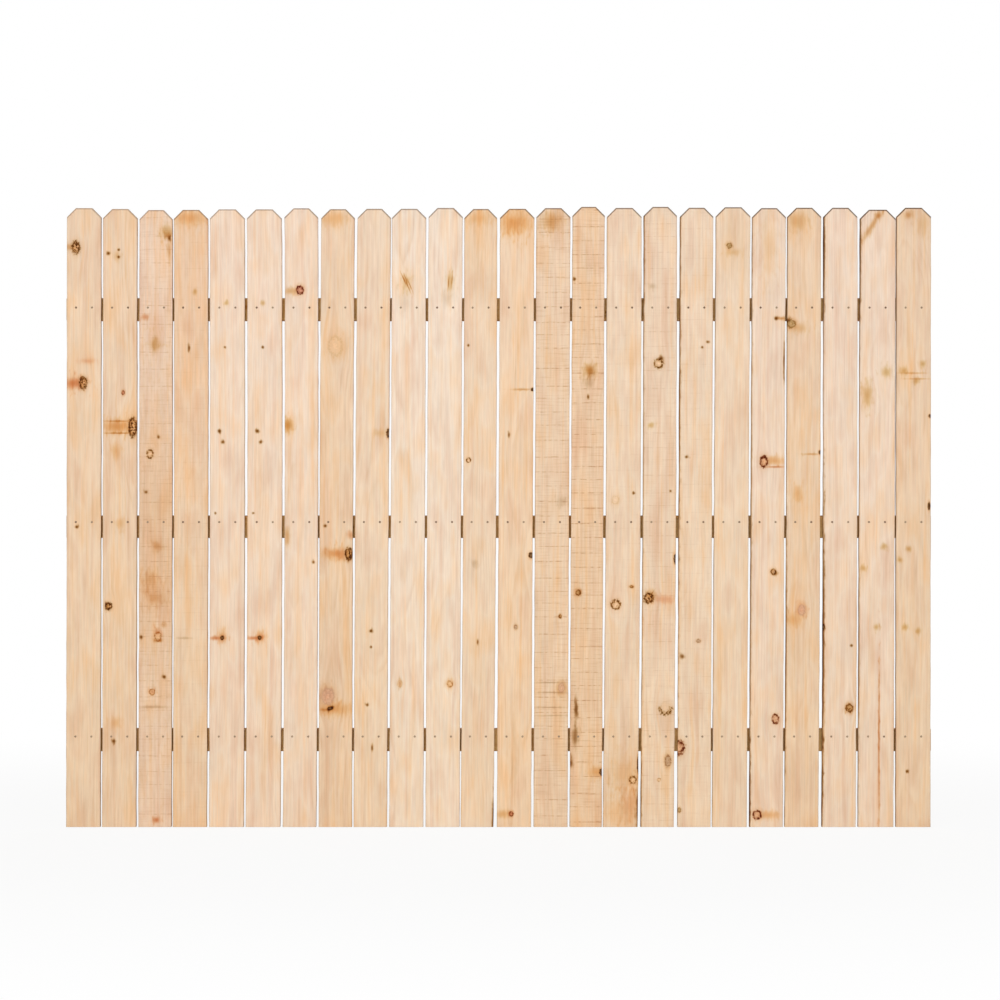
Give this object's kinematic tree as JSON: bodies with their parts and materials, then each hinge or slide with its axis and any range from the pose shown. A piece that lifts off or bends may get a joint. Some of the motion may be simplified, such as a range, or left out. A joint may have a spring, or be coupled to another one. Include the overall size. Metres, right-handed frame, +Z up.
{
  "type": "wooden fence panel",
  "caption": "Dog-ear wooden fence panel: upright sawn pickets with cut top corners, set with narrow gaps and nailed to horizontal rails behind them.",
  "frame": {"origin": "middle of the panel's footprint, on the level of the pickets' feet", "axes": "+X to the right seen from the front, +Y to the back where the rails are, +Z up"},
  "size_m": [2.438, 0.055, 1.746],
  "materials": {
    "picket_wood": "rough sawn",
    "rail_wood": "rough sawn",
    "nail_steel": "galvanised, dull"
  },
  "bodies": {
    "root": {"picket_01": "picket_wood", "picket_02": "picket_wood", "picket_03": "picket_wood", "picket_04": "picket_wood", "picket_05": "picket_wood", "picket_06": "picket_wood", "picket_07": "picket_wood", "picket_08": "picket_wood", "picket_09": "picket_wood", "picket_10": "picket_wood", "picket_11": "picket_wood", "picket_12": "picket_wood", "picket_13": "picket_wood", "picket_14": "picket_wood", "picket_15": "picket_wood", "picket_16": "picket_wood", "picket_17": "picket_wood", "picket_18": "picket_wood", "picket_19": "picket_wood", "picket_20": "picket_wood", "picket_21": "picket_wood", "picket_22": "picket_wood", "picket_23": "picket_wood", "picket_24": "picket_wood", "top_rail": "rail_wood", "middle_rail": "rail_wood", "bottom_rail": "rail_wood", "top_rail_nails": "nail_steel", "middle_rail_nails": "nail_steel", "bottom_rail_nails": "nail_steel"}
  },
  "joints": []
}
